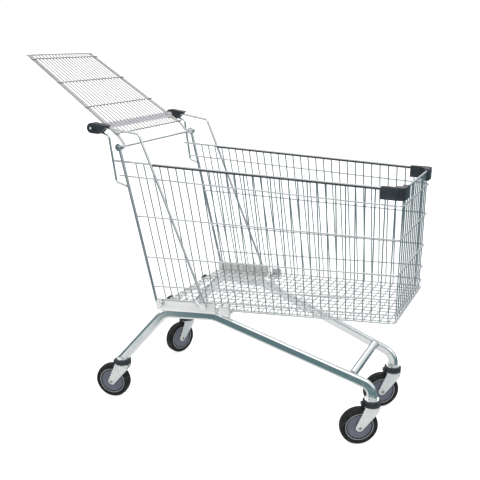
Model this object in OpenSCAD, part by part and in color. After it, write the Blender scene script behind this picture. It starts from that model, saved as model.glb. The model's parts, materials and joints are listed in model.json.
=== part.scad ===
// Shopping cart: a tapered wire basket on a bent oval-tube chassis with four swivel
// casters, a plastic-capped push handle and a wire rear gate that swings over the handle.
// Millimetres, +X to the front, +Y to the left, +Z up, standing on Z = 0.

/* [Basket] */
// Height of the basket rim rod above the floor at the rear frame rod
rim_rear_z = 864; // [820:1:900]
// Height of the basket rim rod above the floor at the front
rim_front_z = 846; // [810:1:890]
// Height of the floor wires at the rear end of the basket
floor_rear_z = 377; // [360:1:400]
// Height of the floor wires at the front end of the basket
floor_front_z = 441; // [420:1:480]
// Distance from the rear swivel axes to the front wall
basket_front_x = 955; // [860:1:1050]
// Distance from the rear swivel axes to the rear ends of the floor wires
basket_rear_x = 150; // [135:1:165]
// Half the width between the wall wires at the front
basket_front_half_w = 184; // [160:1:200]
// Diameter of the rim rod
rim_d = 7; // [6:0.5:9]
// Diameter of the long wall wires
long_wire_d = 5; // [4:0.5:6]
// Diameter of the thin cross wires
thin_wire_d = 4; // [3:0.5:5]
// Number of upright wires in each side wall
side_wires = 30; // [20:1:36]
// Number of wires along the floor, which are also the front wall's uprights
floor_wires = 13; // [9:2:17]
// How far crossing wires sink into each other where they are welded
weld = 0.6; // [0.4:0.1:0.8]
// Bend radius of the long wires at the front corners
corner_bend_r = 14; // [10:1:20]

/* [Frame] */
// Diameter of the two rear frame rods
frame_rod_d = 10; // [8:1:12]
// Distance from the cart's centre plane to each rear frame rod
frame_half_w = 236; // [225:1:250]
// Lean of the rear frame rods, forward per unit of height
frame_lean = 0.239; // [0.15:0.01:0.3]
// Diameter of the handle loop rods
loop_rod_d = 7; // [6:1:9]
// Diameter of the long diagonal brace rods
brace_rod_d = 8.5; // [7:0.5:10]

/* [Handle] */
// Diameter of the handle tube
handle_d = 22; // [20:1:26]
// Height of the handle axis
handle_z = 970; // [950:1:985]
// Distance from the rear swivel axes back to the handle axis
handle_back = 58; // [50:1:70]
// Distance from each frame rod's centre out to the end of its handle cap
cap_out = 28.5; // [20:0.5:44]
// Width of each handle cap along the handle
cap_w = 34; // [28:1:40]

/* [Rear gate] */
// Distance from the rear swivel axes to the gate hinge
hinge_x = 33; // [25:1:40]
// Height of the gate hinge
hinge_z = 912; // [900:1:925]
// Diameter of the gate's hinge rod
hinge_rod_d = 8; // [7:1:10]
// Length of the gate from the hinge to its far edge
gate_len = 500; // [420:1:505]
// Angle of the raised gate above level
gate_angle = 33.4; // [30:0.2:36]
// Half the width of the gate's frame near the hinge
gate_near_half_w = 205; // [190:1:208]
// Half the width of the gate's frame at its far edge
gate_far_half_w = 176; // [150:1:185]
// Number of thin wires along the gate between its frame wires
gate_wires = 19; // [13:2:23]
// Diameter of the gate's thin wires
gate_wire_d = 3.6; // [3:0.2:4]
// Diameter of the gate's frame and cross wires
gate_frame_d = 5; // [4:0.5:6]
// Gap between the raised gate and the handle that stops it
rest_gap = 0.35; // [0.3:0.05:1]

/* [Chassis] */
// Height of the chassis tube's flat-oval section
tube_h = 34; // [30:1:38]
// Width of the chassis tube's flat-oval section
tube_w = 18; // [15:1:22]
// Wall of the chassis tube
tube_wall = 2; // [1.5:0.5:3]
// Distance between the rear and front swivel axes
wheelbase = 887; // [800:1:960]
// Distance from each frame rod's centre in to the rear swivel axis
track_in = 7.3; // [0:0.1:20]
// Half the distance between the front swivel axes
front_track_half = 133.5; // [120:0.1:150]
// Rise of the rear leg per unit of run
leg_rise = 1.16; // [1:0.02:1.4]
// Drop of the long front part per unit of run
front_drop = 0.31; // [0.25:0.01:0.36]
// Distance from the rear swivel axes to the corner where the long front part starts to drop
drop_x = 350; // [330:1:390]
// Diameter of the front cross tube
cross_tube_d = 26; // [22:1:30]
// Distance from the rear swivel axes to the front cross tube
cross_tube_x = 819; // [780:1:830]

/* [Casters] */
// Diameter of the wheels
wheel_d = 125; // [100:1:125]
// Width of the tyres
tyre_w = 30; // [26:1:32]
// Thickness of the tyre on its hub
tyre_h = 13.5; // [10:0.5:20]
// Distance from the swivel axis back to the wheel's axle
trail = 39.8; // [35:0.1:42]
// Diameter of the axle bolts
axle_d = 8; // [6:1:10]
// Diameter of the swivel stems
stem_d = 12; // [10:1:14]
// Diameter of the thread guard rings
guard_d = 58; // [54:1:62]
// Swivel angle of the rear right caster
swivel_rear_right = 12; // [0:1:12]
// Swivel angle of the rear left caster
swivel_rear_left = 69; // [0:1:90]
// Swivel angle of the front right caster
swivel_front_right = 32.5; // [0:0.5:60]
// Swivel angle of the front left caster
swivel_front_left = 34.5; // [0:0.5:60]

/* [Clearances] */
// Radial gap of a running fit
run_gap = 0.05; // [0.03:0.01:0.1]
// Gap between a turning wheel and its fork
fork_gap = 2; // [1:0.5:3]

/* [Hidden] */
$fn = 48;

// Sizes that follow the frame's width and the wheel
handle_half_w = frame_half_w + cap_out;
rear_track_half = frame_half_w - track_in;
hub_d = wheel_d - 2 * tyre_h;

WHEELS = [
    ["rear_right", 0, -1, rear_track_half, swivel_rear_right],
    ["rear_left", 0, 1, rear_track_half, swivel_rear_left],
    ["front_right", wheelbase, -1, front_track_half, swivel_front_right],
    ["front_left", wheelbase, 1, front_track_half, swivel_front_left]
];

// ---- colours ----
zinc = [0.78, 0.79, 0.8];
chrome = [0.86, 0.88, 0.9];
dark_plastic = [0.13, 0.14, 0.16];
grey_plastic = [0.45, 0.5, 0.55];
rubber = [0.1, 0.1, 0.11];

// ---- small vector tools ----
function unit(v) = v / norm(v);
function mix(a, b, t) = a + (b - a) * t;
function flip(p) = [p.x, -p.y, p.z];

// ---- basket surface ----
// Each side wall is a ruled surface between a leaning rear line and an upright front line.
// Rods welded side by side sink into each other by rod_nip
rod_nip = 0.2;
rim_rear_x = hinge_x + (hinge_z - rim_rear_z) * frame_lean;
rim_rear_w = frame_half_w - frame_rod_d / 2 - rim_d / 2 + rod_nip;
plate_t = 3;
plate_gap = 0.5;
plate_rear_w = frame_half_w - frame_rod_d / 2;
edge_rear_w = plate_rear_w - plate_t - long_wire_d / 2 - plate_gap;
floor_slope = (floor_front_z - floor_rear_z) / (basket_front_x - basket_rear_x);
floor_angle = atan(floor_slope);
function floor_z(x) = floor_rear_z + floor_slope * (x - basket_rear_x);
function edge_w(x) = mix(edge_rear_w, basket_front_half_w,
    (x - basket_rear_x) / (basket_front_x - basket_rear_x));
function rim_w(x) = mix(rim_rear_w, basket_front_half_w,
    (x - rim_rear_x) / (basket_front_x - rim_rear_x));
function rim_z(x) = mix(rim_rear_z, rim_front_z,
    (x - rim_rear_x) / (basket_front_x - rim_rear_x));
rim_tail_x = 6;
function frame_x(z) = hinge_x + (hinge_z - z) * frame_lean;

// Long wires: height where they meet the rear frame rod, and height at the front wall
long_wires = [[817, 797], [685, 698], [547, 591], [446, 516], [402, 467]];
long_wire_out = (rim_d - long_wire_d) / 2;
long_rear_w = frame_half_w - frame_rod_d / 2 - long_wire_d / 2 + rod_nip;

// Thin uprights stand inside the long wires, fanned from a leaning first to a plumb last
first_top_x = 85;
first_low_x = 190;
upright_in = (long_wire_d + thin_wire_d) / 2 - weld - long_wire_out;
floor_weld = 0.8 * weld;
corner_cut = corner_bend_r + 4;
last_upright_x = basket_front_x - corner_cut - 3;
function upright_top_x(i) = mix(first_top_x, last_upright_x, i / (side_wires - 1));
function upright_low_x(i) = mix(first_low_x, last_upright_x, i / (side_wires - 1));

// ---- the gate's own frame: u runs out along the gate, v is square to it ----
gate_u = [-cos(gate_angle), 0, sin(gate_angle)];
gate_v = [sin(gate_angle), 0, cos(gate_angle)];
hinge_p = [hinge_x, 0, hinge_z];
handle_p = [-handle_back, 0, handle_z];
gate_lift = (handle_p - hinge_p) * gate_v + handle_d / 2 + gate_wire_d / 2 + rest_gap;
gate_near_u = 48;
gate_cross_share = [0.39, 0.67, 0.946];
gate_cross_u = concat([gate_near_u], [for (s = gate_cross_share) s * gate_len], [gate_len]);
function gate_half_w(u) = mix(gate_near_half_w, gate_far_half_w,
    (u - gate_near_u) / (gate_len - gate_near_u));
function gate_p(u, y, v) = hinge_p + gate_u * u + gate_v * v + [0, y, 0];

// ---- overall ends, which set the origin under the middle of the cart ----
bumper_t = 7;
rear_tip = gate_p(gate_len, 0, gate_lift).x - gate_frame_d / 2;
front_tip = basket_front_x + bumper_t;
mid_x = (rear_tip + front_tip) / 2;
module cart() translate([-mid_x, 0, 0]) children();
module on_side(side) if (side < 0) children(); else mirror([0, 1, 0]) children();

// ---- rods ----
bend_ring = 0.12;
// seam turns the rod about its own axis, so that its seam line stays clear of a weld
module rod(p, q, d, seam = 0) {
    v = q - p;
    translate(p) rotate([0, acos(v.z / norm(v)), atan2(v.y, v.x)]) rotate([0, 0, seam])
        cylinder(h = norm(v), d = d);
}

function turn(pts, i) = acos(unit(pts[i] - pts[i - 1]) * unit(pts[i + 1] - pts[i]));
function setback(pts, radii, i) =
    i == 0 || i == len(pts) - 1 ? 0 : radii[i - 1] * tan(turn(pts, i) / 2);

// Moves the section drawn in the XY plane so that X points away from a bend's centre
module frame_at(origin, ex, ey, ez) {
    multmatrix([
        [ex.x, ey.x, ez.x, origin.x],
        [ex.y, ey.y, ez.y, origin.y],
        [ex.z, ey.z, ez.z, origin.z]
    ]) children();
}

// Children are the section and a slightly fuller one, a faint ring that joins each straight to a
// bend. side_dir is square to a flat path, and may be any vector on a round rod.
module bent_bar(pts, radii, side_dir) {
    for (i = [0:len(pts) - 2]) {
        a = unit(pts[i + 1] - pts[i]);
        p = pts[i] + a * setback(pts, radii, i);
        q = pts[i + 1] - a * setback(pts, radii, i + 1);
        n = unit(side_dir - a * (side_dir * a));
        frame_at(p, cross(n, a), n, a) linear_extrude(norm(q - p)) children(0);
        if (i > 0) frame_at(p, cross(n, a), n, a) linear_extrude(1, center = true) children(1);
        if (i < len(pts) - 2)
            frame_at(q, cross(n, a), n, a) linear_extrude(1, center = true) children(1);
    }
    for (i = [1:1:len(pts) - 2]) {
        a = unit(pts[i] - pts[i - 1]);
        b = unit(pts[i + 1] - pts[i]);
        n = unit(cross(a, b));
        inward = cross(n, a);
        r = radii[i - 1];
        start = pts[i] - a * setback(pts, radii, i);
        frame_at(start + inward * r, -inward, a, n)
            rotate_extrude(angle = turn(pts, i)) translate([r, 0]) children(0);
    }
}

module bent_rod(pts, radii, d) bent_bar(pts, radii, [0.123, 1, 0.077]) {
    circle(d = d);
    circle(d = d + bend_ring);
}

// ---- chassis ----
thin_tube_wall = 1.5;
toe_angle = atan((rear_track_half - front_track_half) / wheelbase);
socket_top_z = 154;
flat_top_drop = 14;
flat_centre_drop = flat_top_drop + tube_h / 2 / cos(floor_angle);
leg_foot_z = 150;
// Where the leg meets the flat part, and where the flat part meets the dropping part
leg_x = (floor_z(0) - flat_centre_drop - leg_foot_z) / (leg_rise - floor_slope);
leg_top_z = leg_foot_z + leg_rise * leg_x;
drop_z = floor_z(drop_x) - flat_centre_drop;
nose_z = drop_z - front_drop * (wheelbase - drop_x);
chassis_path = [
    [-10, 0, leg_foot_z - 10 * leg_rise],
    [leg_x, 0, leg_top_z],
    [drop_x, 0, drop_z],
    [wheelbase, 0, nose_z],
    [wheelbase, 0, socket_top_z]
];
chassis_bends = [60, 90, 44];
plan_stretch = 1 / cos(toe_angle);
function tube_centre_w(x) = mix(rear_track_half, front_track_half, x / wheelbase);

module tube_section(skin) difference() {
    oval(tube_h + skin, tube_w + skin);
    oval(tube_h - 2 * tube_wall - skin, tube_w - 2 * tube_wall - skin);
}

module oval(h, w) {
    square([h - w, w], center = true);
    for (s = [-1, 1]) translate([s * (h - w) / 2, 0]) circle(d = w);
}

// Working frame of one chassis tube: X runs along it, from the rear swivel axis
module tube_frame() {
    translate([0, -rear_track_half, 0]) rotate([0, 0, toe_angle]) children();
}

module chassis_tube(side) {
    path = [for (p = chassis_path) [p.x * plan_stretch, 0, p.z]];
    color(chrome) cart() on_side(side) tube_frame() difference() {
        bent_bar(path, chassis_bends, [0, 1, 0]) {
            tube_section(0);
            tube_section(bend_ring);
        }
        translate([-90, -40, socket_top_z - 60]) cube([180, 80, 60]);
    }
}
module chassis_tube_right() chassis_tube(-1);
module chassis_tube_left() chassis_tube(1);

cross_tube_z = drop_z - front_drop * (cross_tube_x - drop_x) + 4;
module front_cross_tube() {
    half = tube_centre_w(cross_tube_x) - tube_w / 2;
    color(chrome) cart() difference() {
        rod([cross_tube_x, -half, cross_tube_z], [cross_tube_x, half, cross_tube_z], cross_tube_d);
        rod([cross_tube_x, -half - 1, cross_tube_z], [cross_tube_x, half + 1, cross_tube_z],
            cross_tube_d - 2 * thin_tube_wall);
    }
}

// ---- console plates: bent sheet that joins the basket, the frame rods and the chassis ----
console_x = 152;
console_len = 222;
console_h = 36;
console_flange_w = 46;
plan_angle = atan((edge_rear_w - basket_front_half_w) / (basket_front_x - basket_rear_x));
function console_face_w(x) = plate_rear_w - (x - basket_rear_x) * tan(plan_angle);

// Working frame on the outer face, at the level of the chassis tube's top, sloped as the floor is
module console_frame(x) {
    translate([x, -console_face_w(x), floor_z(x) - flat_top_drop])
        rotate([0, 0, plan_angle]) rotate([0, -floor_angle, 0]) children();
}

eye_r = 9.5;
eye_rise = 14;
eye_z = floor_z(console_x) + eye_rise;
eye_x = frame_x(eye_z) + eye_r * sqrt(1 + pow(frame_lean, 2));
bolt_d = 8;

module console_plate(side) {
    color(zinc) cart() on_side(side) difference() {
        console_frame(console_x) {
            cube([console_len, plate_t, console_h]);
            cube([console_len, console_flange_w, plate_t]);
        }
        for (p = [[eye_x, eye_z], [vee.x, vee.z]])
            rod([p.x, -frame_half_w - 20, p.y], [p.x, -frame_half_w + 60, p.y], bolt_d);
    }
}
module console_plate_right() console_plate(-1);
module console_plate_left() console_plate(1);

// ---- rear cross channel under the floor wires, with two buffers on its rear lip ----
channel_x = 146;
channel_len = 36;
channel_t = 3;
channel_lip = 12;
floor_under = thin_wire_d * 1.5 - floor_weld;
buffer_y = 125;
module rear_cross_channel() {
    half = edge_w(channel_x) - 14;
    top = floor_z(channel_x) - floor_under;
    color(zinc) cart() translate([channel_x, 0, top]) rotate([0, -floor_angle, 0]) {
        translate([0, -half, -channel_t]) cube([channel_len, 2 * half, channel_t]);
        translate([0, -half + console_flange_w, -channel_lip])
            cube([channel_t, 2 * (half - console_flange_w), channel_lip]);
    }
}

module floor_buffers() {
    top = floor_z(channel_x) - floor_under;
    color(rubber) cart() for (s = [-1, 1])
        translate([channel_x, s * buffer_y, top]) rotate([0, -floor_angle, 0])
            translate([-9, -15, -channel_lip]) cube([9, 30, channel_lip + 5]);
}

// ---- blocks that carry the basket ahead of the consoles, each on a short post ----
block_x = 388;
block_len = 36;
block_t = 10;
post_d = 10;
post_in = 22;
block_tongue = 8;
module support_block() {
    x = block_x + block_len / 2;
    post_y = -tube_centre_w(x);
    tongue_top = floor_z(x) - floor_under;
    tongue_in = edge_w(x) + long_wire_d / 2 - tube_centre_w(x) + post_d;
    translate([block_x, -edge_w(block_x) - long_wire_d / 2, floor_z(block_x) - floor_under])
        rotate([0, 0, plan_angle]) rotate([0, -floor_angle, 0]) {
        translate([0, -block_t, -block_tongue]) cube([block_len, block_t, block_tongue + 20]);
        translate([0, 0, -block_tongue]) cube([block_len, tongue_in, block_tongue]);
    }
    tube_top = drop_z - front_drop * (x - drop_x) + tube_h / 2 / cos(atan(front_drop));
    translate([x, post_y, tube_top - 1.5]) cylinder(h = tongue_top - tube_top, d = post_d);
}
module support_blocks() color(grey_plastic) cart() for (s = [-1, 1]) on_side(s) support_block();

// ---- rear frame rods, each with a hinge eye at the top and a bolt eye at the bottom ----
bush_d = 14;
bush_collar_d = 18;
eye_ring_d = 24;
eye_ring_w = 14;
module frame_rod(side) {
    y = -frame_half_w;
    down = unit([frame_lean, 0, -1]);
    low_z = eye_z - eye_r * frame_lean / sqrt(1 + pow(frame_lean, 2));
    lean_angle = atan(frame_lean);
    color(chrome) cart() on_side(side) {
        difference() {
            union() {
                rod([hinge_x, y, hinge_z] + down * (bush_d / 2 + 1), [frame_x(low_z), y, low_z],
                    frame_rod_d);
                translate([hinge_x, y, hinge_z]) rotate([90, 0, 0])
                    cylinder(h = eye_ring_w, d = eye_ring_d, center = true);
            }
            translate([hinge_x, y, hinge_z]) rotate([90, 0, 0])
                cylinder(h = eye_ring_w + 2, d = bush_d, center = true);
        }
        translate([eye_x, y, eye_z]) rotate([90, 0, 0])
            rotate([0, 0, 180 + lean_angle])
                rotate_extrude(angle = 300) translate([eye_r, 0]) circle(d = frame_rod_d);
    }
}
module frame_rod_right() frame_rod(-1);
module frame_rod_left() frame_rod(1);

// ---- handle loop rods: from the cap down and forward to the frame rod ----
loop_half_w = frame_half_w + frame_rod_d / 2 + loop_rod_d / 2 - rod_nip;
loop_end_z = 787;
loop_path = [
    [-34, -loop_half_w, handle_z - 11],
    [0, -loop_half_w, handle_z - 22.5],
    [22, -loop_half_w, 798],
    [frame_x(loop_end_z), -loop_half_w, loop_end_z]
];
loop_bends = [10, 12];
module handle_loop(side) color(chrome) cart() on_side(side) bent_rod(loop_path, loop_bends, loop_rod_d);
module handle_loop_right() handle_loop(-1);
module handle_loop_left() handle_loop(1);

// ---- long brace rods: forward from the cap, down outside the basket and up again in a vee ----
brace_top_x = 106;
brace_cross_x = 150;
brace_half_w = rim_w(brace_cross_x) + rim_d / 2 + brace_rod_d / 2 - rod_nip;
brace_low_x = 356;
brace_low_z = 375;
vee_bend_r = 9;
brace_path = [
    [-26, -loop_half_w + 2, handle_z + 5],
    [brace_top_x, -brace_half_w, handle_z - 12],
    [brace_low_x, -brace_half_w, brace_low_z],
    [brace_low_x - 53, -brace_half_w, brace_low_z + 45]
];
brace_bends = [16, vee_bend_r];
// The bolt stands at the centre of the brace's lowest bend
function bend_centre(pts, r, i) =
    let (a = unit(pts[i] - pts[i - 1]), b = unit(pts[i + 1] - pts[i]), half = (180 - turn(pts, i)) / 2)
    pts[i] + unit(b - a) * r / sin(half);
vee = bend_centre(brace_path, vee_bend_r, 2);
module handle_brace(side) color(chrome) cart() on_side(side)
    bent_rod(brace_path, brace_bends, brace_rod_d);
module handle_brace_right() handle_brace(-1);
module handle_brace_left() handle_brace(1);

// ---- bolts through the frame rod eyes and the brace vees ----
bolt_head_d = 15;
bolt_head_h = 5;
washer_t = 1.5;
washer_d = 1.6 * bolt_head_d;
bolt_tail = 9;
nut_d = 13;
nut_h = 6;
nut_gap = 0.4;
module frame_bolt(x, z, outer_w) {
    face = console_face_w(x);
    shank = outer_w - face + plate_t + bolt_tail;
    translate([x, -outer_w, z]) rotate([90, 0, 0]) {
        cylinder(h = washer_t, d = washer_d);
        cylinder(h = washer_t + bolt_head_h, d = bolt_head_d);
        translate([0, 0, -shank]) cylinder(h = shank, d = bolt_d);
    }
    translate([x, -face + plate_t + nut_gap, z]) rotate([-90, 0, 0])
        cylinder(h = nut_h, d = nut_d, $fn = 6);
}
module frame_bolts() color(zinc) cart() for (s = [-1, 1]) on_side(s) {
    frame_bolt(eye_x, eye_z, frame_half_w + frame_rod_d / 2);
    frame_bolt(vee.x, vee.z, brace_half_w + brace_rod_d / 2);
}

// ---- handle tube and its two plastic caps ----
handle_bore_depth = 24;
module handle_tube() {
    half = handle_half_w - cap_w + handle_bore_depth;
    color([0.72, 0.7, 0.76]) cart() difference() {
        rod([-handle_back, -half, handle_z], [-handle_back, half, handle_z], handle_d);
        rod([-handle_back, -half - 1, handle_z], [-handle_back, half + 1, handle_z],
            handle_d - 2 * thin_tube_wall);
    }
}

cap_r = 17;
cap_rise = 2;
cap_dome = 4;
cap_dome_in = 3;
cap_nose_rise = 12;
cap_chin_x = -30;
module cap_outline() {
    translate([-handle_back, handle_z + cap_rise]) circle(r = cap_r);
    polygon([
        [-handle_back, handle_z + cap_rise + cap_r],
        [0, handle_z + cap_nose_rise],
        [cap_chin_x, handle_z + cap_rise - cap_r - 1],
        [-handle_back, handle_z + cap_rise - cap_r]
    ]);
}
module handle_cap(side) {
    color(dark_plastic) cart() on_side(side) difference() {
        translate([0, -handle_half_w + cap_dome, 0]) {
            translate([0, cap_w - cap_dome, 0]) rotate([90, 0, 0])
                linear_extrude(cap_w - cap_dome) cap_outline();
            translate([-handle_back, 0, handle_z + cap_rise]) rotate([90, 0, 0])
                cylinder(h = cap_dome, r1 = cap_r, r2 = cap_r - cap_dome_in);
        }
        rod([-handle_back, -handle_half_w + cap_w - handle_bore_depth, handle_z],
            [-handle_back, -handle_half_w + cap_w + 1, handle_z], handle_d);
        rod(loop_path[0], mix(loop_path[0], loop_path[1], 0.9), loop_rod_d);
        rod(brace_path[0], mix(brace_path[0], brace_path[1], 0.6), brace_rod_d);
        translate([-handle_back, -handle_half_w - 1, handle_z + cap_rise]) rotate([-90, 0, 0])
            cylinder(h = 1 + screw_sink, d = screw_d);
    }
}
module handle_cap_right() handle_cap(-1);
module handle_cap_left() handle_cap(1);

screw_d = 9;
screw_sink = 3;
screw_in = 0.6;
hex_d = 4;
hex_depth = 1.2;
module cap_screws() color(zinc) cart() for (s = [-1, 1]) on_side(s)
    translate([-handle_back, -handle_half_w + screw_in, handle_z + cap_rise]) rotate([-90, 0, 0])
        difference() {
            cylinder(h = screw_sink - screw_in, d = screw_d);
            translate([0, 0, -1]) cylinder(h = 1 + hex_depth, d = hex_d, $fn = 6);
        }

// ---- basket walls ----
// Each long wire of the right wall: rear end, front corner point and diameter
tail_x = 24;
function front_corner(z) = [basket_front_x, -basket_front_half_w, z];
rim_wire = [[rim_tail_x, -rim_w(rim_tail_x), rim_z(rim_tail_x)], front_corner(rim_front_z), rim_d];
edge_start_x = basket_rear_x + 2;
edge_wire = [[edge_start_x, -edge_w(edge_start_x), floor_z(edge_start_x)],
    front_corner(floor_front_z), long_wire_d];
wall_wires = concat([rim_wire, edge_wire], [for (i = [0:len(long_wires) - 1])
    let (h = long_wires[i], x = i == 0 ? tail_x : frame_x(h[0]))
    [[x, -long_rear_w, h[0]], front_corner(h[1]), long_wire_d]]);
// The wall's wires stop short of the corner, where the front wall's bent ends meet them
function wall_end(w) = w[1] - unit(w[1] - w[0]) * corner_cut;

module side_uprights(first) {
    for (i = [first:side_wires - 1]) {
        top = upright_top_x(i);
        low = upright_low_x(i);
        rod([top, -rim_w(top) + upright_in, rim_z(top)],
            [low, -edge_w(low) + upright_in, floor_z(low)], thin_wire_d);
    }
}

module basket_side(side) {
    color(chrome) cart() on_side(side) {
        for (w = wall_wires) rod(w[0], wall_end(w), w[2]);
        side_uprights(0);
    }
}
module basket_side_right() basket_side(-1);
module basket_side_left() basket_side(1);

// The floor's wires along the cart turn up into the front wall's uprights
floor_half_w = basket_front_half_w - corner_bend_r - 10;
function floor_wire_y(i) = mix(-floor_half_w, floor_half_w, i / (floor_wires - 1));
function floor_wire_rear_y(i) = floor_wire_y(i) * (edge_rear_w - 20) / floor_half_w;
front_in = (long_wire_d + thin_wire_d) / 2 - weld;
module front_uprights() {
    for (i = [0:floor_wires - 1])
        rod([basket_front_x - front_in, floor_wire_y(i), floor_front_z - 1],
            [basket_front_x - front_in, floor_wire_y(i), rim_front_z], thin_wire_d);
}
module front_wire(w) {
    bent_rod([wall_end(w), w[1], flip(w[1]), flip(wall_end(w))],
        [corner_bend_r, corner_bend_r], w[2]);
}
module basket_front() {
    color(chrome) cart() {
        for (w = wall_wires) front_wire(w);
        front_uprights();
    }
}

module basket_floor() {
    drop = thin_wire_d - floor_weld;
    color(chrome) cart() {
        for (i = [0:side_wires - 1]) {
            x = upright_low_x(i);
            half = edge_w(x) - upright_in;
            rod([x, -half, floor_z(x)], [x, half, floor_z(x)], thin_wire_d);
        }
        for (i = [0:floor_wires - 1])
            rod([basket_rear_x, floor_wire_rear_y(i), floor_z(basket_rear_x) - drop],
                [basket_front_x - front_in, floor_wire_y(i), floor_front_z - drop], thin_wire_d);
    }
}

// ---- dark plastic cover over the top half of each rim rod ----
cover_x = 152;
cover_d = 13;
bumper_len = 70;
cover_end_x = front_tip - bumper_len;
module rim_cover(side) {
    a = [cover_x, -rim_w(cover_x), rim_z(cover_x)];
    b = [cover_end_x, -rim_w(cover_end_x), rim_z(cover_end_x)];
    dir = unit(b - a);
    across = unit(cross([0, 0, 1], dir));
    color(dark_plastic) cart() on_side(side)
        frame_at(a, -across, cross(dir, -across), dir) linear_extrude(norm(b - a)) difference() {
            circle(d = cover_d);
            circle(d = rim_d);
            translate([-cover_d, -cover_d + 0.4]) square([2 * cover_d, cover_d]);
        }
}
module rim_cover_right() rim_cover(-1);
module rim_cover_left() rim_cover(1);

// ---- corner bumpers: plastic shells wrapped round the top front corners ----
bumper_h = 37;
bumper_wrap = 42;
bumper_in = 8;
module corner_bumper(side) {
    z0 = rim_front_z + 6 - bumper_h;
    bumper_r = bumper_t + bumper_in + 2;
    cx = front_tip - bumper_r;
    cy = -basket_front_half_w + bumper_in;
    color(dark_plastic) cart() on_side(side) difference() {
        translate([0, 0, z0]) linear_extrude(bumper_h) {
            translate([cx, cy]) circle(r = bumper_r);
            translate([cx - bumper_len + bumper_r, cy - bumper_r])
                square([bumper_len - bumper_r, bumper_r]);
            translate([cx, cy]) square([bumper_r, bumper_wrap]);
        }
        front_wire(rim_wire);
        rod(rim_wire[0], wall_end(rim_wire) + [1, 0, 0], rim_d + bend_ring);
        side_uprights(side_wires - 4);
        front_uprights();
    }
}
module corner_bumper_right() corner_bumper(-1);
module corner_bumper_left() corner_bumper(1);

// ---- hinge bushes in the frame rods' eyes ----
collar_w = 16;
module hinge_bush() {
    inner_w = frame_half_w - eye_ring_w / 2 - collar_w;
    translate([hinge_x, -inner_w, hinge_z]) rotate([90, 0, 0]) difference() {
        union() {
            cylinder(h = collar_w, d = bush_collar_d);
            cylinder(h = collar_w + eye_ring_w, d = bush_d);
        }
        translate([0, 0, -1]) cylinder(h = collar_w + eye_ring_w + 2, d = hinge_rod_d + 2 * run_gap);
    }
}
module hinge_bushes() color(grey_plastic) cart() for (s = [-1, 1]) on_side(s) hinge_bush();

// ---- rear gate ----
gate_foot_w = frame_half_w - eye_ring_w / 2 - collar_w - 6;
side_pair_gap = 9;
cross_tip = 8;
gate_cross_v = gate_lift + (gate_wire_d + gate_frame_d) / 2 - weld;
module gate_hinge_rod() {
    half = frame_half_w + eye_ring_w / 2 + 0.5;
    color(chrome) cart() {
        rod([hinge_x, -half, hinge_z], [hinge_x, half, hinge_z], hinge_rod_d);
        for (s = [-1, 1]) rod([hinge_x, s * half, hinge_z], [hinge_x, s * (half + 2.5), hinge_z],
            hinge_rod_d + 5);
    }
}

module gate_grid() {
    color(chrome) cart() {
        for (u = gate_cross_u) {
            tip = u == gate_len ? gate_frame_d / 2 : cross_tip;
            half = gate_half_w(u) + tip;
            v = u == gate_len ? gate_lift : gate_cross_v;
            rod(gate_p(u, -half, v), gate_p(u, half, v), gate_frame_d, 90 + gate_angle);
        }
        for (i = [1:gate_wires]) {
            t = 2 * i / (gate_wires + 1) - 1;
            rod(gate_p(gate_near_u - 2, t * gate_half_w(gate_near_u), gate_lift),
                gate_p(gate_len, t * gate_half_w(gate_len), gate_lift), gate_wire_d);
        }
        for (s = [-1, 1]) for (inset = [0, side_pair_gap])
            bent_rod([
                gate_p(0, s * (gate_foot_w - inset), 0),
                gate_p(gate_near_u - 8, s * (gate_near_half_w - inset), gate_lift + 0.4),
                gate_p(gate_len, s * (gate_far_half_w - inset), gate_lift)
            ], [12], gate_frame_d - 0.6);
    }
}

// ---- casters ----
crown_z = 128.5;
crown_t = 3.5;
crown_d = 52;
fork_t = 2.5;
fork_inner_w = tyre_w / 2 + fork_gap;
fork_low_r = 13;
fork_bite = 0.3;
guard_z = crown_z + crown_t;
guard_h = 16;
flange_gap = 0.6;
flange_z = guard_z + guard_h + flange_gap;
race_d = 34;
race_low = 6;
foot_d = 46;
stem_nut_d = stem_d + 8;
stem_nut_h = 5;
stem_nut_gap = 0.3;
stem_lap = 0.1;

// Working frame of one caster: origin on the floor under the swivel axis, wheel trailing to -X
module caster_frame(w) cart() translate([w[1], w[2] * w[3], 0]) rotate([0, 0, w[4]]) children();

module socket(w) {
    color(zinc) caster_frame(w) {
        translate([0, 0, flange_z]) cylinder(h = socket_top_z - flange_z, d = foot_d);
        translate([0, 0, crown_z]) cylinder(h = flange_z - crown_z, d = stem_d);
        translate([0, 0, crown_z - stem_nut_gap - stem_nut_h]) cylinder(h = stem_nut_h, d = stem_nut_d);
        translate([0, 0, crown_z - stem_nut_gap - stem_lap])
            cylinder(h = stem_nut_gap + 2 * stem_lap, d = stem_d);
        translate([0, 0, guard_z + race_low])
            cylinder(h = flange_z - guard_z - race_low, d = race_d - 1);
    }
}

// Point where a line from p touches a circle round c, on the side given by s
function touch(p, c, r, s) =
    let (d = norm(c - p), a = atan2((c - p).y, (c - p).x), b = asin(r / d), l = sqrt(d * d - r * r))
    p + l * [cos(a + s * b), sin(a + s * b)];

crown_back = 25;
crown_front = 24;
cheek_lap = 0.5;
neck_x = 20;
neck_drop = 16;
module fork_outline() {
    axle = [-trail, wheel_d / 2];
    rear_top = [-crown_back, crown_z + cheek_lap];
    front_top = [crown_front, crown_z + cheek_lap];
    front_mid = [neck_x, crown_z - neck_drop];
    difference() {
        union() {
            translate(axle) circle(r = fork_low_r);
            polygon([rear_top, front_top, front_mid, touch(front_mid, axle, fork_low_r - fork_bite, 1),
                axle, touch(rear_top, axle, fork_low_r - fork_bite, -1)]);
        }
        translate(axle) circle(d = axle_d);
    }
}

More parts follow.
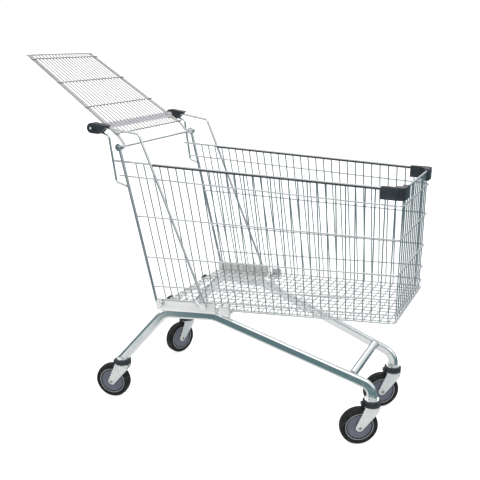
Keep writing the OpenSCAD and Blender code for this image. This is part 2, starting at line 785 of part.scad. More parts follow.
module fork(w) {
    color(zinc) caster_frame(w) {
        difference() {
            union() {
                translate([0, 0, crown_z]) cylinder(h = crown_t, d = crown_d);
                translate([-crown_back, -fork_inner_w - fork_t, crown_z])
                    cube([crown_back + crown_front, 2 * (fork_inner_w + fork_t), crown_t]);
            }
            translate([0, 0, crown_z - 1]) cylinder(h = crown_t + 2, d = stem_d + 2 * run_gap);
        }
        for (s = [-1, 1]) translate([0, s * (fork_inner_w + fork_t / 2) + fork_t / 2, 0])
            rotate([90, 0, 0]) linear_extrude(fork_t) fork_outline();
    }
}

tab_out = 5;
tab_len = 14;
tab_w = 18;
tab_drop = 5;
module guard(w) {
    color(dark_plastic) caster_frame(w) difference() {
        union() {
            translate([0, 0, guard_z]) cylinder(h = guard_h, d = guard_d);
            translate([-guard_d / 2 - tab_out, -tab_w / 2, guard_z])
                cube([tab_len, tab_w, guard_h - tab_drop]);
        }
        translate([0, 0, guard_z - 1]) cylinder(h = guard_h + 2, d = race_d);
    }
}

axle_overall = 2 * (fork_inner_w + fork_t);
axle_tail = 7.5;
axle_head_d = 15;
axle_head_h = 4.5;
axle_nut_d = 14;
axle_nut_h = 6;
module axle(w) {
    color(zinc) caster_frame(w) translate([-trail, 0, wheel_d / 2]) rotate([90, 0, 0]) {
        translate([0, 0, -axle_overall / 2 - axle_tail])
            cylinder(h = axle_overall + axle_tail, d = axle_d);
        translate([0, 0, axle_overall / 2]) cylinder(h = axle_head_h, d = axle_head_d);
        translate([0, 0, -axle_overall / 2 - axle_nut_h])
            cylinder(h = axle_nut_h, d = axle_nut_d, $fn = 6);
    }
}

module wheel_frame(w) caster_frame(w) translate([-trail, 0, wheel_d / 2]) rotate([90, 0, 0]) children();

tyre_edge = 3.5;
tyre_lip = 1;
tread_half = 5;
tread_drop = 1;
module tyre(w) {
    r = wheel_d / 2;
    color(rubber) wheel_frame(w) rotate_extrude() polygon([
        [hub_d / 2, -tyre_w / 2 + tyre_lip],
        [hub_d / 2 + 2 * tyre_lip, -tyre_w / 2],
        [r - tyre_edge, -tyre_w / 2],
        [r - tread_drop, -tyre_w / 2 + tyre_edge],
        [r, -tread_half],
        [r, tread_half],
        [r - tread_drop, tyre_w / 2 - tyre_edge],
        [r - tyre_edge, tyre_w / 2],
        [hub_d / 2 + 2 * tyre_lip, tyre_w / 2],
        [hub_d / 2, tyre_w / 2 - tyre_lip]
    ]);
}

bearing_d = 22;
rim_half = tyre_w / 2 - tyre_lip;
// The hub's face is a flat disc with a groove round it and a plain ring at the tyre
face_in = 0.5;
face_half = rim_half - face_in;
rim_ring = 6;
groove_in_r = hub_d / 2 - rim_ring;
groove_draft = 0.3;
groove_w = 2.5;
groove_depth = 2;
module hub(w) {
    half = [[bearing_d / 2, face_half], [groove_in_r, face_half],
        [groove_in_r + groove_draft, face_half - groove_depth],
        [groove_in_r + groove_w, face_half - groove_depth],
        [groove_in_r + groove_w, rim_half], [hub_d / 2, rim_half]];
    count = len(half);
    color([0.5, 0.48, 0.56]) wheel_frame(w) rotate_extrude() polygon(concat(
        [for (i = [0:count - 1]) [half[i].x, -half[i].y]],
        [for (i = [1:count]) half[count - i]]));
}

module bearing(w) {
    half = fork_inner_w - 0.5;
    color(zinc) wheel_frame(w) difference() {
        union() {
            translate([0, 0, -rim_half]) cylinder(h = 2 * rim_half, d = bearing_d);
            translate([0, 0, -half]) cylinder(h = 2 * half, d = axle_d + 6);
        }
        translate([0, 0, -half - 1]) cylinder(h = 2 * half + 2, d = axle_d + 2 * run_gap);
    }
}

chassis_tube_right();
chassis_tube_left();
front_cross_tube();
rear_cross_channel();
console_plate_right();
console_plate_left();
support_blocks();
floor_buffers();
frame_rod_right();
frame_rod_left();
handle_loop_right();
handle_loop_left();
handle_brace_right();
handle_brace_left();
handle_tube();
handle_cap_right();
handle_cap_left();
cap_screws();
basket_side_right();
basket_side_left();
basket_front();
basket_floor();
rim_cover_right();
rim_cover_left();
corner_bumper_right();
corner_bumper_left();
hinge_bushes();
frame_bolts();
gate_grid();
gate_hinge_rod();
for (w = WHEELS) {
    socket(w);
    fork(w);
    guard(w);
    axle(w);
    tyre(w);
    hub(w);
    bearing(w);
}
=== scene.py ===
"""Looks for a wire shopping cart: finishes, welds, wheel rings, softened mouldings and the studio."""

import json
import logging
import math
from dataclasses import dataclass, field
from enum import Enum
from typing import Sequence, Union

import bmesh
import bpy
from mathutils import Matrix, Vector


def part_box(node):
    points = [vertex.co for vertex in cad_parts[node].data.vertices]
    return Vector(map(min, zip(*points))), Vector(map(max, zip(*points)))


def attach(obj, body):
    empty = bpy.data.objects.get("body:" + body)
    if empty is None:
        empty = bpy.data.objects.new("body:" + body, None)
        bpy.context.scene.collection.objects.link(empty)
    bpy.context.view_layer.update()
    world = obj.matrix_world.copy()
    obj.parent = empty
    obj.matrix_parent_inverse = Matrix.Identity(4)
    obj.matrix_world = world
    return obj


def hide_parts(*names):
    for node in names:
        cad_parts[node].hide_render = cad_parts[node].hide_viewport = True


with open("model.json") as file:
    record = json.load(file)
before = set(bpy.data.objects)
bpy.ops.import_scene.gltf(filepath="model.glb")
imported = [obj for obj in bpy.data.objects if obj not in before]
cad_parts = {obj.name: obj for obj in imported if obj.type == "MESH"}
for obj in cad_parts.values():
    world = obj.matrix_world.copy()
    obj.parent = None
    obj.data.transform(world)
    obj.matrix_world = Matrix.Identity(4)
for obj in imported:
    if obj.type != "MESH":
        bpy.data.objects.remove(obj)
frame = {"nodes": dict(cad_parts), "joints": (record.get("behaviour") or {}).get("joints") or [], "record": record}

LOG = logging.getLogger("shopping_cart")
FULL_TURN = 2 * math.pi
WHITE = (1.0, 1.0, 1.0)
MERGE_WITHIN = 1e-6
FLAT_WITHIN = math.radians(0.5)
Colour = tuple[float, float, float]
Span = tuple[float, float]
Triple = tuple[float, float, float]
Operand = Union["Value", float]


class Side(Enum):
    """The two sides of the cart, with the sign of their Y."""

    RIGHT = -1
    LEFT = 1

    @property
    def word(self) -> str:
        """The side's name as it stands in node names."""
        return self.name.lower()


class Corner(Enum):
    """The four casters."""

    REAR_RIGHT = "rear_right"
    REAR_LEFT = "rear_left"
    FRONT_RIGHT = "front_right"
    FRONT_LEFT = "front_left"


# ---- shader graph ----


class Value:
    """One output socket of a shader graph, whose arithmetic adds Math nodes."""

    def __init__(self, graph: "Graph", socket: bpy.types.NodeSocket) -> None:
        """Keeps the graph and the socket."""
        self.graph = graph
        self.socket = socket

    def __add__(self, other: Operand) -> "Value":
        """Returns self + other."""
        return self.graph.math("ADD", self, other)

    __radd__ = __add__

    def __sub__(self, other: Operand) -> "Value":
        """Returns self - other."""
        return self.graph.math("SUBTRACT", self, other)

    def __rsub__(self, other: Operand) -> "Value":
        """Returns other - self."""
        return self.graph.math("SUBTRACT", other, self)

    def __mul__(self, other: Operand) -> "Value":
        """Returns self * other."""
        return self.graph.math("MULTIPLY", self, other)

    __rmul__ = __mul__

    def within(self, low: float, high: float) -> "Value":
        """Returns a smooth step that is 0 below low and 1 above high.

        Args:
            low: Where the step starts.
            high: Where the step is complete.

        Returns:
            The step as a value from 0 to 1.
        """
        return self.graph.node(
            "ShaderNodeMapRange",
            {"interpolation_type": "SMOOTHSTEP"},
            {"Value": self, "From Min": low, "From Max": high},
        )


class Graph:
    """The node graph of a material or a world, around one shader."""

    def __init__(self, owner: Union[bpy.types.Material, bpy.types.World], kind: str) -> None:
        """Clears the owner's nodes and makes its shader and output.

        Args:
            owner: The material or world.
            kind: The shader's node type.
        """
        owner.use_nodes = True
        self.tree = owner.node_tree
        self.tree.nodes.clear()
        self.shader = self.tree.nodes.new(kind)
        end = "World" if isinstance(owner, bpy.types.World) else "Material"
        output = self.tree.nodes.new(f"ShaderNodeOutput{end}")
        self.tree.links.new(self.shader.outputs[0], output.inputs[0])

    def _feed(self, socket: bpy.types.NodeSocket, value: object) -> None:
        """Links a Value to a socket, or sets a plain number, colour or vector on it."""
        if isinstance(value, Value):
            self.tree.links.new(value.socket, socket)
        elif isinstance(value, tuple) and len(socket.default_value) == 4 and len(value) == 3:
            socket.default_value = (*value, 1.0)
        else:
            socket.default_value = value

    def node(
        self, kind: str, settings: dict[str, object], inputs: dict, output: Union[int, str] = 0
    ) -> Value:
        """Adds any node.

        Args:
            kind: The node's type name.
            settings: Its own properties, set first.
            inputs: Values, numbers or colours by socket name or number.
            output: The output socket that is wanted.

        Returns:
            That output.
        """
        made = self.tree.nodes.new(kind)
        for key, value in settings.items():
            setattr(made, key, value)
        for key, value in inputs.items():
            self._feed(made.inputs[key], value)
        return Value(self, made.outputs[output])

    def math(self, operation: str, first: Operand, second: Operand) -> Value:
        """Returns the two operands put through one Math node."""
        return self.node("ShaderNodeMath", {"operation": operation}, {0: first, 1: second})

    def mix(self, factor: Operand, low: object, high: object) -> Value:
        """Returns a colour between low and high by factor."""
        return self.node(
            "ShaderNodeMix", {"data_type": "RGBA"}, {0: factor, 6: low, 7: high}, output=2
        )

    def place(self) -> Value:
        """Returns the point on the object, in metres."""
        return self.node("ShaderNodeTexCoord", {}, {}, "Object")

    def stretched(self, scale: Triple) -> Value:
        """Returns the point on the object, scaled along each axis."""
        return self.node(
            "ShaderNodeVectorMath", {"operation": "MULTIPLY"}, {0: self.place(), 1: scale}
        )

    def height(self) -> Value:
        """Returns the height above the floor, in metres."""
        return self.node("ShaderNodeSeparateXYZ", {}, {0: self.place()}, "Z")

    def edge(self, low: float = 0.52, high: float = 0.60) -> Value:
        """Returns a mask of the outward edges, from low to high pointiness."""
        return self.node("ShaderNodeNewGeometry", {}, {}, "Pointiness").within(low, high)

    def noise(self, scale: float, detail: float = 3.0, place: Union[Value, None] = None) -> Value:
        """Returns soft noise about 0.5, with features about 1/scale metres across."""
        return self.node(
            "ShaderNodeTexNoise",
            {},
            {"Vector": place or self.place(), "Scale": scale, "Detail": detail},
        )

    def bump(self, height: Value, distance: float, strength: float = 1.0) -> None:
        """Feeds a Bump node into the shader's Normal.

        Args:
            height: The relief, from 0 to 1.
            distance: How deep a relief of 1 is, in metres.
            strength: The share of the relief that is used.
        """
        normal = self.node(
            "ShaderNodeBump", {}, {"Height": height, "Distance": distance, "Strength": strength}
        )
        self.surface(Normal=normal)

    def surface(self, **values: object) -> None:
        """Feeds shader inputs, named with underscores for spaces."""
        for key, value in values.items():
            self._feed(self.shader.inputs[key.replace("_", " ")], value)


class Skin(Graph):
    """The node graph of one new material, around its Principled shader."""

    def __init__(self, name: str) -> None:
        """Makes the material."""
        self.material = bpy.data.materials.new(name)
        super().__init__(self.material, "ShaderNodeBsdfPrincipled")


# ---- finishes ----


@dataclass(frozen=True)
class Plated:
    """Bright plated steel: cloudy polish, fine specks, dulled places and dust low down."""

    name: str
    colour: Colour
    dull: Colour
    smooth: float
    rough: float
    cloud: float = 14.0
    dust: Colour = (0.46, 0.44, 0.40)
    dust_top: float = 0.30
    relief: float = 0.00002
    relief_scale: float = 260.0
    cloud_span: Span = (0.35, 0.68)
    cloud_share: float = 0.55
    speck_scale: float = 420.0
    speck_span: Span = (0.60, 0.72)
    patch_scale: float = 30.0
    patch_span: Span = (0.48, 0.60)
    wear_share: float = 0.45
    wear_rough: float = 0.14
    dust_scale: float = 60.0
    dust_span: Span = (0.40, 0.70)
    dust_share: float = 0.35
    dust_rough: float = 0.12

    def material(self) -> bpy.types.Material:
        """Returns the finish as a material."""
        g = Skin(self.name)
        cloud = g.noise(self.cloud).within(*self.cloud_span)
        speck = g.noise(self.speck_scale, 2.0).within(*self.speck_span)
        wear = speck * g.noise(self.patch_scale).within(*self.patch_span)
        low = 1 - g.height().within(0.0, self.dust_top)
        low_dust = low * g.noise(self.dust_scale).within(*self.dust_span)
        polish = self.smooth + (self.rough - self.smooth) * cloud
        colour = g.mix(cloud * self.cloud_share + wear * self.wear_share, self.colour, self.dull)
        g.surface(
            Base_Color=g.mix(low_dust * self.dust_share, colour, self.dust),
            Metallic=1 - self.dust_share * low_dust,
            Roughness=polish + self.wear_rough * wear + self.dust_rough * low_dust,
        )
        g.bump(g.noise(self.relief_scale, 2.0), self.relief, 0.5)
        return g.material


@dataclass(frozen=True)
class ZincPlate:
    """Pale passivated zinc: a fine crystal pattern, rubbed edges and a satin surface."""

    name: str
    colour: Colour
    shade: Colour
    spangle: float = 240.0
    roughness: float = 0.42
    metal: float = 0.30
    bright: Colour = (0.86, 0.86, 0.85)
    bright_share: float = 0.5
    bright_metal: float = 0.2
    grain_share: float = 0.25
    grain_polish: float = 0.05
    stain_scale: float = 22.0
    stain_span: Span = (0.42, 0.74)
    stain_share: float = 0.5
    stain_rough: float = 0.12
    relief: float = 0.00002
    relief_scale: float = 500.0

    def material(self) -> bpy.types.Material:
        """Returns the finish as a material."""
        g = Skin(self.name)
        crystal = g.node(
            "ShaderNodeTexVoronoi", {}, {"Vector": g.place(), "Scale": self.spangle}, "Color"
        )
        grain = g.node("ShaderNodeSeparateColor", {}, {0: crystal}, 0)
        stain = g.noise(self.stain_scale, 4.0).within(*self.stain_span)
        rubbed = g.edge()
        tone = g.mix(grain * self.grain_share + stain * self.stain_share, self.colour, self.shade)
        satin = self.roughness + self.stain_rough * stain - self.grain_polish * grain
        g.surface(
            Base_Color=g.mix(rubbed * self.bright_share, tone, self.bright),
            Metallic=self.metal + self.bright_metal * rubbed,
            Roughness=satin - self.stain_rough * rubbed,
        )
        g.bump(g.noise(self.relief_scale, 2.0) * 0.6 + grain * 0.4, self.relief, 0.5)
        return g.material


@dataclass(frozen=True)
class Moulded:
    """Moulded plastic or rubber: spark-eroded grain, scuffs, rubbed edges and settled dust."""

    name: str
    colour: Colour
    scuff: Colour
    roughness: float
    grain: float = 900.0
    grain_depth: float = 0.00012
    scuffs: float = 0.5
    coat: float = 0.0
    shine: float = 0.5
    coat_roughness: float = 0.12
    cloud_scale: float = 18.0
    cloud_span: Span = (0.3, 0.7)
    cloud_share: float = 0.35
    cloud_rough: float = 0.10
    streak_scale: float = 55.0
    streak_stretch: Triple = (0.35, 1.0, 2.4)
    streak_span: Span = (0.58, 0.74)
    streak_rough: float = 0.16
    edge_share: float = 0.6

    def material(self) -> bpy.types.Material:
        """Returns the finish as a material."""
        g = Skin(self.name)
        grain = g.noise(self.grain, 2.0)
        cloud = g.noise(self.cloud_scale, 3.0)
        along = g.stretched(self.streak_stretch)
        streak = g.noise(self.streak_scale, 5.0, along).within(*self.streak_span)
        rubbed = g.edge()
        worn = streak * self.scuffs + rubbed * (self.edge_share * self.scuffs)
        cloudy = cloud.within(*self.cloud_span) * self.cloud_share
        satin = self.roughness + self.cloud_rough * cloud + self.streak_rough * streak
        g.surface(
            Base_Color=g.mix(worn, g.mix(cloudy, self.colour, self.scuff), self.scuff),
            Roughness=satin - self.cloud_rough * rubbed,
            Specular_IOR_Level=self.shine,
        )
        if self.coat:
            g.surface(Coat_Weight=self.coat, Coat_Roughness=self.coat_roughness)
        g.bump(grain + 0.3 * cloud, self.grain_depth)
        return g.material


@dataclass(frozen=True)
class Tread:
    """Elastic tyre: patchy dust, scratches and fine moulding grain."""

    name: str
    colour: Colour
    dust: Colour
    roughness: float = 0.50
    shine: float = 0.25
    grime_scale: float = 70.0
    grime_span: Span = (0.44, 0.72)
    grime_share: float = 0.30
    grime_rough: float = 0.22
    pit_scale: float = 700.0
    pit_rough: float = 0.1
    scratch_scale: float = 160.0
    scratch_stretch: Triple = (1.0, 1.0, 0.3)
    scratch_span: Span = (0.60, 0.72)
    scratch_share: float = 0.25
    relief: float = 0.00014

    def material(self) -> bpy.types.Material:
        """Returns the finish as a material."""
        g = Skin(self.name)
        grime = g.noise(self.grime_scale, 5.0).within(*self.grime_span)
        pits = g.noise(self.pit_scale, 3.0)
        along = g.stretched(self.scratch_stretch)
        scratch = g.noise(self.scratch_scale, 4.0, along).within(*self.scratch_span)
        dusty = grime * self.grime_share + scratch * self.scratch_share
        g.surface(
            Base_Color=g.mix(dusty, self.colour, self.dust),
            Roughness=self.roughness + self.grime_rough * grime + self.pit_rough * pits,
            Specular_IOR_Level=self.shine,
        )
        g.bump(pits + 0.6 * scratch, self.relief)
        return g.material


@dataclass(frozen=True)
class StudioFloor:
    """Pale seamless floor with the faintest mottling."""

    name: str
    colour: Colour
    shade: Colour = (0.70, 0.70, 0.70)
    glow: float = 0.66
    mottle_scale: float = 1.3
    mottle_share: float = 0.12
    roughness: float = 0.85

    def material(self) -> bpy.types.Material:
        """Returns the finish as a material."""
        g = Skin(self.name)
        mottle = g.noise(self.mottle_scale, 4.0)
        g.surface(
            Base_Color=g.mix(mottle * self.mottle_share, self.colour, self.shade),
            Roughness=self.roughness + 0.1 * mottle,
            Emission_Color=WHITE,
            Emission_Strength=self.glow,
        )
        return g.material


class Finishes:
    """Every finish of the cart, made once and handed out by slot name."""

    RECIPES = {
        "chrome_wire": Plated("chrome_wire", (0.74, 0.75, 0.75), (0.58, 0.59, 0.60), 0.14, 0.30),
        "gate_chrome": Plated("gate_chrome", (0.56, 0.555, 0.54), (0.44, 0.435, 0.43), 0.18, 0.34),
        "chassis_chrome": Plated(
            "chassis_chrome", (0.82, 0.845, 0.85), (0.76, 0.785, 0.79), 0.06, 0.12, 6.0, relief=4e-6
        ),
        "zinc_sheet": ZincPlate("zinc_sheet", (0.80, 0.79, 0.76), (0.70, 0.69, 0.67)),
        "zinc_fitting": ZincPlate("zinc_fitting", (0.78, 0.78, 0.76), (0.68, 0.69, 0.68), 420.0, 0.36),
        # Dark bronze-toned finish that paints the shade inside the axle bolt's recess.
        "bronze_recess_shade": ZincPlate("bronze_recess_shade", (0.20, 0.17, 0.15), (0.10, 0.09, 0.08), 900.0, 0.45),
        "grey_plastic": Moulded("grey_plastic", (0.52, 0.54, 0.53), (0.62, 0.63, 0.62), 0.40),
        "dark_plastic": Moulded(
            "dark_plastic", (0.008, 0.012, 0.014), (0.05, 0.06, 0.07), 0.40, scuffs=0.35, shine=0.35
        ),
        "handle_sleeve": Moulded(
            "handle_sleeve", (0.62, 0.60, 0.68), (0.72, 0.71, 0.75), 0.30, 600.0, 0.00005, 0.4, 0.3
        ),
        "black_rubber": Moulded(
            "black_rubber", (0.008, 0.008, 0.009), (0.05, 0.05, 0.05), 0.62, shine=0.25
        ),
        "tyre": Tread("tyre", (0.006, 0.006, 0.007), (0.07, 0.068, 0.065)),
        "hub_plastic": Moulded(
            "hub_plastic", (0.070, 0.078, 0.108), (0.16, 0.165, 0.20), 0.42, 800.0, 0.0001, 0.3
        ),
        "wheel_ring": Moulded("wheel_ring", (0.26, 0.26, 0.28), (0.40, 0.40, 0.42), 0.40),
        "weld_metal": Plated("weld_metal", (0.62, 0.63, 0.63), (0.42, 0.43, 0.43), 0.30, 0.55, 90.0),
    }

    def __init__(self) -> None:
        """Starts with nothing made."""
        self._made: dict[str, bpy.types.Material] = {}

    def get(self, name: str) -> bpy.types.Material:
        """Returns the material of that name."""
        if name not in self._made:
            self._made[name] = self.RECIPES[name].material()
        return self._made[name]

    def dress(self, obj: bpy.types.Object, name: str) -> None:
        """Gives an object this finish as its only material."""
        obj.data.materials.clear()
        obj.data.materials.append(self.get(name))


FINISHES = Finishes()


# ---- mesh making ----


def new_object(name: str, mesh: bmesh.types.BMesh) -> bpy.types.Object:
    """Turns a bmesh into a smooth-shaded object.

    Args:
        name: The object's name.
        mesh: The finished bmesh, which is freed.

    Returns:
        The object, linked to the scene.
    """
    bmesh.ops.recalc_face_normals(mesh, faces=mesh.faces)
    data = bpy.data.meshes.new(name)
    mesh.to_mesh(data)
    mesh.free()
    data.polygons.foreach_set("use_smooth", [True] * len(data.polygons))
    obj = bpy.data.objects.new(name, data)
    bpy.context.scene.collection.objects.link(obj)
    return obj


def skin_rings(mesh: bmesh.types.BMesh, rings: Sequence[Sequence[Vector]]) -> None:
    """Joins rings of points into a closed ring-shaped tube.

    Args:
        mesh: The bmesh to add to.
        rings: Rings with the same number of points each; the last joins the first.
    """
    made = [[mesh.verts.new(p) for p in ring] for ring in rings]
    count = len(made[0])
    for i, a in enumerate(made):
        b = made[(i + 1) % len(made)]
        for k in range(count):
            mesh.faces.new((a[k], a[(k + 1) % count], b[(k + 1) % count], b[k]))


def bead(
    mesh: bmesh.types.BMesh,
    path: Sequence[Vector],
    radius: float,
    ripples: float,
    sides: int = 8,
    ripple_height: float = 0.22,
) -> None:
    """Adds a weld bead, a rippled tube along a looped path.

    Args:
        mesh: The bmesh to add to.
        path: The points of its centreline, all the way round.
        radius: Its mean radius, in metres.
        ripples: How many ripples there are along it.
        sides: Points round its section.
        ripple_height: How far a ripple stands out, as a share of the radius.
    """
    rings = []
    count = len(path)
    for i, point in enumerate(path):
        along = (path[(i + 1) % count] - path[i - 1]).normalized()
        across = along.orthogonal().normalized()
        other = along.cross(across)
        size = radius * (1 + ripple_height * abs(math.sin(math.pi * ripples * (i / count))))
        rings.append(
            [
                point + size * (across * math.cos(t) + other * math.sin(t))
                for t in (FULL_TURN * k / sides for k in range(sides))
            ]
        )
    skin_rings(mesh, rings)


def lathe(
    mesh: bmesh.types.BMesh,
    profile: Sequence[tuple[float, float]],
    centre: Vector,
    axis: Vector,
    steps: int,
) -> None:
    """Adds a closed profile turned about an axis.

    Args:
        mesh: The bmesh to add to.
        profile: Pairs of radius and distance along the axis, in metres.
        centre: The point that the distances start from.
        axis: The axis as a unit vector.
        steps: How many steps the turn takes.
    """
    across = axis.orthogonal().normalized()
    other = axis.cross(across)
    rings = []
    for k in range(steps):
        turn = FULL_TURN * k / steps
        out = across * math.cos(turn) + other * math.sin(turn)
        rings.append([centre + out * r + axis * along for r, along in profile])
    skin_rings(mesh, rings)


def softened(node: str, name: str, width: float, angle: float = 35.0) -> bpy.types.Object:
    """Copies a CAD node with its hard edges rounded, and lets the copy stand for it.

    Args:
        node: The CAD node.
        name: The new piece's name.
        width: The rounding's width, in metres.
        angle: Edges that turn by more than this many degrees are rounded.

    Returns:
        The piece.
    """
    mesh = bmesh.new()
    mesh.from_mesh(frame["nodes"][node].data)
    bmesh.ops.remove_doubles(mesh, verts=mesh.verts, dist=MERGE_WITHIN)
    bmesh.ops.dissolve_limit(mesh, angle_limit=FLAT_WITHIN, verts=mesh.verts, edges=mesh.edges)
    obj = new_object(name, mesh)
    stored = obj.data.attributes.get("custom_normal")
    if stored is not None:
        obj.data.attributes.remove(stored)
    bevel = obj.modifiers.new("round", "BEVEL")
    bevel.width = width
    bevel.segments = 2
    bevel.limit_method = "ANGLE"
    bevel.angle_limit = math.radians(angle)
    bpy.context.view_layer.update()
    graph = bpy.context.evaluated_depsgraph_get()
    rounded = bpy.data.meshes.new_from_object(obj.evaluated_get(graph))
    obj.modifiers.clear()
    obj.data = rounded
    rounded.set_sharp_from_angle(angle=math.radians(angle))
    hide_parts(node)
    return obj


def settle(obj: bpy.types.Object, body: str, slot: str, finish: Union[str, None] = None) -> None:
    """Dresses a new piece and puts it on its body.

    Args:
        obj: The piece.
        body: The CAD body that it rides on.
        slot: The record's material slot that it takes its finish from.
        finish: The finish, where it isn't named as the slot is.
    """
    FINISHES.dress(obj, finish or slot)
    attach(obj, body)
    LOG.info("piece %s on body %s", obj.name, body)


def joint_frame(name: str) -> tuple[Vector, Vector]:
    """Returns the point and the unit axis of a joint."""
    joint = next(j for j in frame["joints"] if j["name"] == name)
    return Vector(joint["pos_m"]), Vector(joint["axis"]).normalized()


# ---- sub-assemblies ----


@dataclass(frozen=True)
class Ring:
    """One ring turned round a wheel's axis, with its place, its section and its finish."""

    name: str
    radius: float
    face: float
    width: float
    rise: float
    slot: str
    finish: str
    both_sides: bool = True


@dataclass
class Wheel:
    """The rings, and the dark ring of painted shade in the bolt's recess, that show on the faces of one wheel."""

    corner: Corner
    steps: int = 96
    section: int = 10
    rings: tuple[Ring, ...] = (
        Ring("wheel_ring", 0.0450, 0.0142, 0.0013, 0.0008, "hub_plastic", "wheel_ring"),
        Ring("seat_ring", 0.0417, 0.0135, 0.0019, 0.0004, "hub_plastic", "black_rubber"),
        Ring("wall_ring", 0.0479, 0.0142, 0.0018, 0.0009, "tyre", "tyre"),
        # The bolt recess ring is painted shade: a dark, bronze-toned ring where the bolt head's recess falls into
        # shade.
        Ring("bolt_recess", 0.0035, 0.0240, 0.0022, 0.0005, "zinc_fitting", "bronze_recess_shade", False),
    )

    def build(self) -> None:
        """Builds each ring; the one for the bolt's head stands on the right face only."""
        centre, axis = joint_frame(f"spin_{self.corner.value}")
        for ring in self.rings:
            mesh = bmesh.new()
            for side in (-1, 1) if ring.both_sides else (-1,):
                profile = [
                    (
                        ring.radius + ring.width * math.cos(t),
                        side * ring.face + ring.rise * math.sin(t),
                    )
                    for t in (FULL_TURN * k / self.section for k in range(self.section))
                ]
                lathe(mesh, profile, centre, axis, self.steps)
            piece = new_object(f"{ring.name}_{self.corner.value}", mesh)
            body = "wheel" if ring.both_sides else "caster"
            settle(piece, f"{body}_{self.corner.value}", ring.slot, ring.finish)


@dataclass
class Caster:
    """The softened guard of one caster and the weld at the foot of its tube."""

    corner: Corner
    guard_round: float = 0.0016
    weld_radius: float = 0.0016
    weld_reach: tuple[float, float] = (0.0168, 0.0094)
    weld_height: float = 0.1545
    ripples: int = 26
    steps: int = 64

    def build(self) -> None:
        """Builds the guard and the weld bead."""
        word = self.corner.value
        guard = softened(f"guard_{word}", f"soft_guard_{word}", self.guard_round)
        settle(guard, f"caster_{word}", "dark_plastic")
        foot, _ = joint_frame(f"swivel_{word}")
        mesh = bmesh.new()
        along, across = self.weld_reach
        path = [
            Vector((foot.x + along * math.cos(t), foot.y + across * math.sin(t), self.weld_height))
            for t in (FULL_TURN * k / self.steps for k in range(self.steps))
        ]
        bead(mesh, path, self.weld_radius, self.ripples)
        settle(new_object(f"foot_weld_{word}", mesh), "frame", "zinc_fitting", "weld_metal")


@dataclass
class Chassis:
    """Weld beads round the ends of the front cross tube."""

    bead_radius: float = 0.0018
    inset: float = 0.0008
    ripples: int = 22
    steps: int = 56

    def build(self) -> None:
        """Builds one bead at each end."""
        low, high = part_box("front_cross_tube")
        middle = (low + high) / 2
        radius = (high.z - low.z) / 2
        for side in Side:
            end = high.y if side is Side.LEFT else low.y
            mesh = bmesh.new()
            path = [
                Vector(
                    (
                        middle.x + radius * math.cos(t),
                        end - side.value * self.inset,
                        middle.z + radius * math.sin(t),
                    )
                )
                for t in (FULL_TURN * k / self.steps for k in range(self.steps))
            ]
            bead(mesh, path, self.bead_radius, self.ripples)
            weld = new_object(f"cross_tube_weld_{side.word}", mesh)
            settle(weld, "frame", "chassis_chrome", "weld_metal")


@dataclass
class Mouldings:
    """Softened plastic and sheet pieces that stand for their plain CAD nodes."""

    rounds: dict[str, tuple[float, str]] = field(
        default_factory=lambda: {
            "handle_cap_right": (0.0022, "dark_plastic"),
            "handle_cap_left": (0.0022, "dark_plastic"),
            "corner_bumper_right": (0.0020, "dark_plastic"),
            "corner_bumper_left": (0.0020, "dark_plastic"),
            "support_blocks": (0.0012, "grey_plastic"),
            "floor_buffers": (0.0015, "black_rubber"),
            "console_plate_right": (0.0009, "zinc_sheet"),
            "console_plate_left": (0.0009, "zinc_sheet"),
        }
    )

    def build(self) -> None:
        """Builds each softened piece."""
        for node, (width, slot) in self.rounds.items():
            settle(softened(node, f"soft_{node}", width), "frame", slot)


@dataclass
class Wirework:
    """Finishes of the CAD nodes that show as they are."""

    special: dict[str, str] = field(
        default_factory=lambda: {"gate_grid": "gate_chrome"}
        | {f"socket_{corner.value}": "chassis_chrome" for corner in Corner}
    )

    def build(self) -> None:
        """Dresses each CAD node by its slot, or by its own finish where it has one."""
        for entry in frame["record"]["subparts"]:
            node = entry["node"]
            FINISHES.dress(frame["nodes"][node], self.special.get(node, entry["material_slot"]))


@dataclass(frozen=True)
class Softbox:
    """One square softbox: where it hangs, what it faces, its side in metres and its watts."""

    name: str
    at: Triple
    towards: Triple
    size: float
    power: float


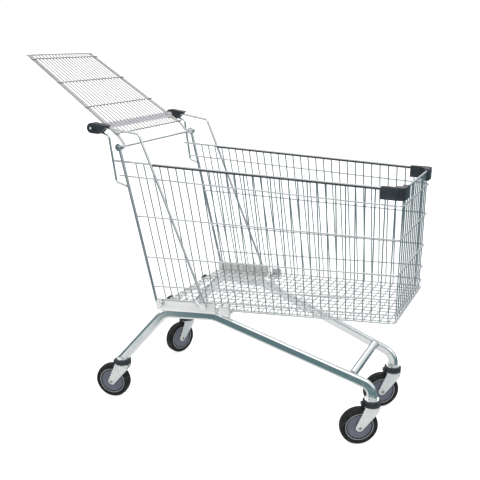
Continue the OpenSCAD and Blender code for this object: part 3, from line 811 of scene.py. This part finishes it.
@dataclass
class Studio:
    """Camera, floor, lights and surroundings."""

    camera_at: Triple = (1.09935, -2.12790, 1.26122)
    turn: float = math.radians(-25.9137)
    tilt: float = math.radians(-16.1422)
    roll: float = math.radians(0.0065)
    lens: float = 52.895
    sensor: float = 36.0
    floor_size: float = 60.0
    floor_colour: Colour = (0.76, 0.76, 0.76)
    pale_below: Colour = (0.84, 0.85, 0.84)
    dark_band: Colour = (0.13, 0.21, 0.23)
    bright_above: Colour = (0.92, 0.93, 0.94)
    band_turns: Span = (-0.345, -0.305)
    band_foot: float = -0.30
    band_drop: float = 0.22
    band_blur: float = 0.03
    band_top: Span = (0.00, 0.30)
    softboxes: tuple[Softbox, ...] = (
        Softbox("key_softbox", (1.6, -2.6, 3.4), (0.1, 0.0, 0.5), 2.4, 30.0),
        Softbox("side_softbox", (-2.8, -1.4, 2.2), (0.0, 0.0, 0.5), 1.6, 12.0),
        Softbox("rear_softbox", (-0.6, 3.0, 2.8), (0.0, 0.0, 0.6), 2.2, 14.0),
    )

    def build(self) -> None:
        """Sets up everything round the cart."""
        self._camera()
        self._floor()
        self._world()
        for softbox in self.softboxes:
            self._light(softbox)

    def _camera(self) -> None:
        """Places the camera."""
        ahead = Vector(
            (
                math.sin(self.turn) * math.cos(self.tilt),
                math.cos(self.turn) * math.cos(self.tilt),
                math.sin(self.tilt),
            )
        )
        right = ahead.cross(Vector((0.0, 0.0, 1.0))).normalized()
        up = right.cross(ahead)
        rolled_right = right * math.cos(self.roll) + up * math.sin(self.roll)
        rolled_up = up * math.cos(self.roll) - right * math.sin(self.roll)
        data = bpy.data.cameras.new("camera")
        data.lens, data.sensor_width = self.lens, self.sensor
        camera = bpy.data.objects.new("camera", data)
        axes = Matrix((rolled_right, rolled_up, -ahead)).transposed()
        camera.matrix_world = Matrix.Translation(self.camera_at) @ axes.to_4x4()
        bpy.context.scene.collection.objects.link(camera)
        bpy.context.scene.camera = camera

    def _floor(self) -> None:
        """Lays the pale floor."""
        mesh = bmesh.new()
        bmesh.ops.create_grid(mesh, x_segments=1, y_segments=1, size=self.floor_size)
        floor = new_object("studio_floor", mesh)
        floor.data.materials.append(StudioFloor("studio_floor", self.floor_colour).material())
        floor.visible_glossy = False

    def _world(self) -> None:
        """Surrounds the cart with a pale floor, a dark band at the horizon and a bright sky."""
        world = bpy.data.worlds.new("studio")
        bpy.context.scene.world = world
        g = Graph(world, "ShaderNodeBackground")
        towards = g.node("ShaderNodeTexCoord", {}, {}, "Generated")
        x = g.node("ShaderNodeSeparateXYZ", {}, {0: towards}, "X")
        z = g.node("ShaderNodeSeparateXYZ", {}, {0: towards}, "Z")
        foot = self.band_foot - self.band_drop * x.within(*self.band_turns)
        band = (z - foot).within(-self.band_blur, self.band_blur)
        low = g.mix(band, self.pale_below, self.dark_band)
        sky = g.mix(z.within(*self.band_top), low, self.bright_above)
        seen = g.node("ShaderNodeLightPath", {}, {}, "Is Camera Ray")
        g.surface(Color=g.mix(seen, sky, WHITE))
        bpy.context.scene.view_settings.view_transform = "Standard"

    def _light(self, softbox: Softbox) -> None:
        """Hangs one softbox."""
        data = bpy.data.lights.new(softbox.name, "AREA")
        data.size, data.energy = softbox.size, softbox.power
        light = bpy.data.objects.new(softbox.name, data)
        light.location = softbox.at
        aim = Vector(softbox.towards) - Vector(softbox.at)
        light.rotation_euler = aim.to_track_quat("-Z", "Y").to_euler()
        bpy.context.scene.collection.objects.link(light)


def main() -> None:
    """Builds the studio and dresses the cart."""
    logging.basicConfig(level=logging.INFO, format="%(name)s: %(message)s")
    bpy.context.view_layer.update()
    Studio().build()
    Wirework().build()
    Mouldings().build()
    Chassis().build()
    for corner in Corner:
        Caster(corner).build()
        Wheel(corner).build()


if __name__ == "__main__":
    main()
